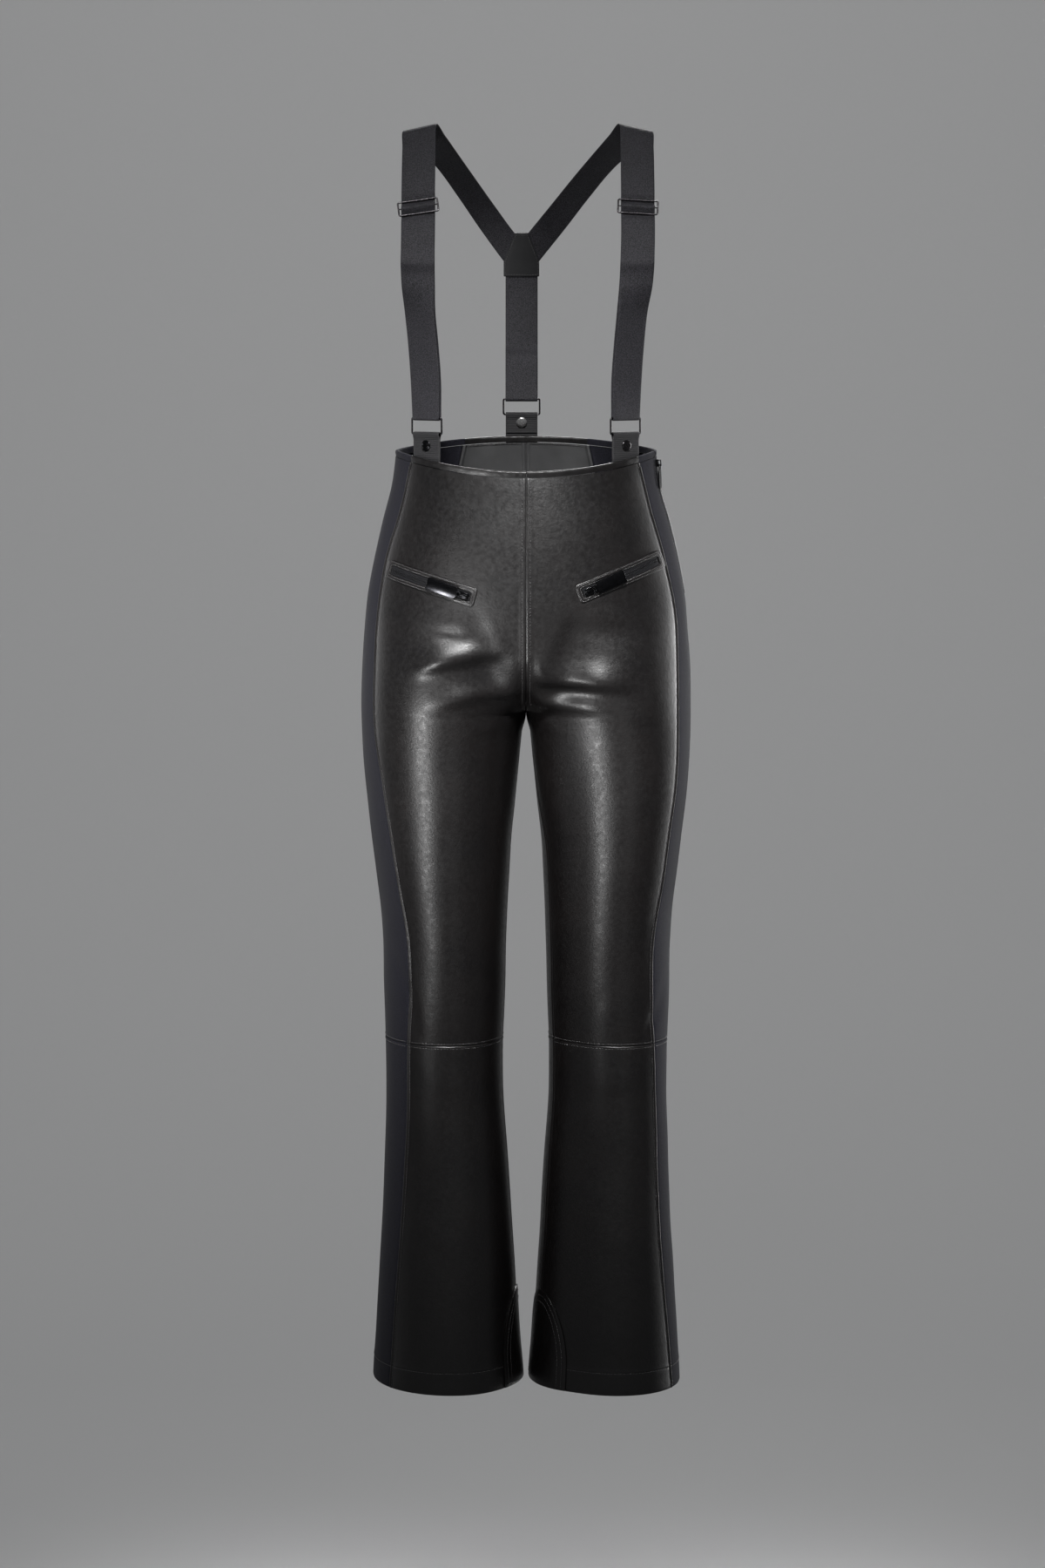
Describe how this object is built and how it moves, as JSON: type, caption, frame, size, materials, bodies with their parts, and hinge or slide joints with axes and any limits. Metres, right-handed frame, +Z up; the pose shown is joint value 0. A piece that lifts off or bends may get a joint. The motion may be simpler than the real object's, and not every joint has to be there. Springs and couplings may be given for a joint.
{
  "type": "ski trousers with braces",
  "caption": "High-waisted flared ski trousers in leather-look cloth with matte side panels, angled zip pockets, a side zip and elastic Y-back braces, filled out with no wearer.",
  "frame": {"origin": "middle of the waist opening, level with the top edge at the sides, where the wearer's waist holds the trousers up", "axes": "+Z up, the front of the trousers faces -Y, +X towards the wearer's left"},
  "size_m": [0.3668, 0.248, 1.412],
  "materials": {
    "leather_cloth": "black leather-look stretch cloth, fine grain, soft satin shine",
    "side_cloth": "matte charcoal stretch softshell",
    "elastic": "matte charcoal ribbed elastic",
    "webbing": "black ribbed webbing",
    "yoke_leather": "smooth dark grey leather patch",
    "zip_tape": "black woven tape with a moulded coil",
    "black_metal": "glossy black",
    "gunmetal": "dark gunmetal",
    "silver": "satin silver"
  },
  "bodies": {
    "trousers": {"adjuster_left": "gunmetal", "adjuster_right": "gunmetal", "back_left_lower": "leather_cloth", "back_left_upper": "leather_cloth", "back_right_lower": "leather_cloth", "back_right_upper": "leather_cloth", "elastic_back": "elastic", "elastic_left": "elastic", "elastic_right": "elastic", "front_left_lower": "leather_cloth", "front_left_upper": "leather_cloth", "front_right_lower": "leather_cloth", "front_right_upper": "leather_cloth", "pocket_frame_left": "leather_cloth", "pocket_frame_right": "leather_cloth", "pocket_slider_left": "black_metal", "pocket_slider_right": "black_metal", "pocket_zip_left": "zip_tape", "pocket_zip_right": "zip_tape", "ring_back": "gunmetal", "ring_left": "gunmetal", "ring_right": "gunmetal", "scuff_guard_left": "leather_cloth", "scuff_guard_right": "leather_cloth", "side_left_back_upper": "side_cloth", "side_left_front_upper": "side_cloth", "side_left_lower": "side_cloth", "side_right_lower": "side_cloth", "side_right_upper": "side_cloth", "side_slider": "black_metal", "side_zip": "zip_tape", "stud_back": "silver", "stud_left": "gunmetal", "stud_right": "black_metal", "tab_back": "webbing", "tab_left": "webbing", "tab_right": "webbing", "waist_edge_back": "leather_cloth", "waist_edge_front": "leather_cloth", "waist_edge_left_back": "side_cloth", "waist_edge_left_front": "side_cloth", "waist_edge_right": "side_cloth", "yoke_inner": "yoke_leather", "yoke_outer": "yoke_leather"},
    "pocket_pull_right_body": {"pocket_pull_right": "black_metal"},
    "pocket_pull_left_body": {"pocket_pull_left": "black_metal"},
    "side_pull_body": {"side_pull": "black_metal"}
  },
  "joints": [
    {"name": "pocket_pull_right_hinge", "type": "hinge", "parent": "trousers", "child": "pocket_pull_right_body", "pos_m": [-0.06978, -0.10771, -0.15337], "axis": [0.2741, -0.0512, 0.9603], "range_deg": [0, 130]},
    {"name": "pocket_pull_left_hinge", "type": "hinge", "parent": "trousers", "child": "pocket_pull_left_body", "pos_m": [0.07045, -0.1074, -0.1483], "axis": [0.3439, 0.0644, -0.9368], "range_deg": [0, 130]},
    {"name": "side_pull_hinge", "type": "hinge", "parent": "trousers", "child": "side_pull_body", "pos_m": [0.14744, -0.01933, -0.01543], "axis": [-0.2667, -0.9638, 0], "range_deg": [0, 130]}
  ]
}
